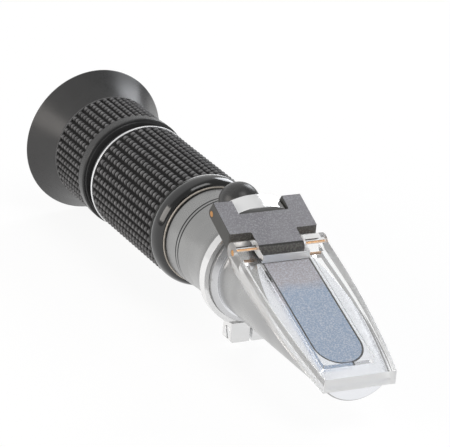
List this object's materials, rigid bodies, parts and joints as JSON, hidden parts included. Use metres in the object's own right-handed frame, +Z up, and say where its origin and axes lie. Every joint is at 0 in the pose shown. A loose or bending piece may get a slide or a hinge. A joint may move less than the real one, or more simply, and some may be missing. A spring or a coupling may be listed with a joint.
{
  "type": "hand refractometer",
  "caption": "Hand-held battery and coolant refractometer: slanted prism under a hinged clear daylight plate, knurled grip and a focusing eyepiece with a flared rubber eyecup.",
  "frame": {"origin": "bottom centre of the bounding box: below the optical axis at mid length, level with the lowest point of the eyecup", "axes": "+Y along the optical axis from the prism to the eyepiece, +Z up on the side of the daylight plate, +X to the left of someone looking into the eyepiece along -Y"},
  "size_m": [0.0404, 0.1526, 0.0404],
  "materials": {
    "satin_metal": "satin turned and anodised",
    "chrome": "bright plated",
    "bright_aluminium": "polished",
    "dark_plastic": "fine speckle texture",
    "brass": "bare",
    "clear_acrylic": "clear moulded acrylic",
    "optical_glass": "polished",
    "black_rubber": "moulded",
    "black_anodised": "black anodised",
    "steel": "plain",
    "gloss_black": "gloss"
  },
  "bodies": {
    "body": {"prism_holder": "satin_metal", "spigot_seal": "black_rubber", "prism": "optical_glass", "prism_seal": "black_rubber", "light_stop": "black_anodised", "clamp_ring": "chrome", "clamp_screw": "chrome", "barrel": "satin_metal", "carrier_retainer": "black_anodised", "carrier_spring": "steel", "light_baffle": "black_anodised", "reticle_holder": "black_anodised", "reticle": "optical_glass", "reticle_ring": "black_anodised", "nose_ring": "gloss_black", "front_trim_ring": "bright_aluminium", "grip_sleeve": "black_rubber", "rear_trim_ring": "bright_aluminium", "dust_collar": "black_anodised", "guide_screw": "steel"},
    "arm": {"hinge_arm": "dark_plastic", "rear_hinge_pin": "brass", "front_hinge_pin": "brass"},
    "plate": {"daylight_plate": "clear_acrylic"},
    "cap": {"calibration_cap": "black_rubber"},
    "carrier": {"lens_carrier": "black_anodised", "bimetal_strip": "brass", "bimetal_screws": "steel", "lens_cell": "black_anodised", "objective_lens": "optical_glass", "objective_ring": "black_anodised"},
    "screw": {"calibration_screw": "steel"},
    "lens_block": {"lens_tube": "black_anodised", "focus_seal": "black_rubber", "field_lens": "optical_glass", "lens_spacer": "black_anodised", "eye_lens": "optical_glass", "lens_lock_ring": "black_anodised"},
    "eyepiece": {"focus_ring": "gloss_black", "eyepiece_retainer": "black_anodised", "eyecup": "black_rubber"}
  },
  "joints": [
    {"name": "arm_swing", "type": "hinge", "parent": "body", "child": "arm", "pos_m": [0, -0.0179, 0.036], "axis": [-1, 0, 0], "range_deg": [0, 105]},
    {"name": "plate_swing", "type": "hinge", "parent": "arm", "child": "plate", "pos_m": [0, -0.03125, 0.03096], "axis": [-1, 0, 0], "range_deg": [0, 90]},
    {"name": "cap_lift", "type": "slide", "parent": "body", "child": "cap", "axis": [0, 0, 1], "range_m": [0, 0.004]},
    {"name": "carrier_shift", "type": "slide", "parent": "body", "child": "carrier", "axis": [0, 0, 1], "range_m": [-0.00025, 0.00025]},
    {"name": "screw_turn", "type": "hinge", "parent": "carrier", "child": "screw", "pos_m": [0, -0.00955, 0.0335], "axis": [0, 0, 1], "range_deg": [-180, 180]},
    {"name": "focus_travel", "type": "slide", "parent": "body", "child": "lens_block", "axis": [0, 1, 0], "range_m": [-0.0015, 0.0025]},
    {"name": "focus_turn", "type": "hinge", "parent": "lens_block", "child": "eyepiece", "pos_m": [0, 0.04925, 0.0202], "axis": [0, 1, 0], "range_deg": [-108, 180]}
  ],
  "couplings": [
    {"joint": "focus_travel", "follows": "focus_turn", "m_per_rad": 0.00079577},
    {"joint": "screw_turn", "follows": "carrier_shift", "rad_per_m": 12566}
  ]
}
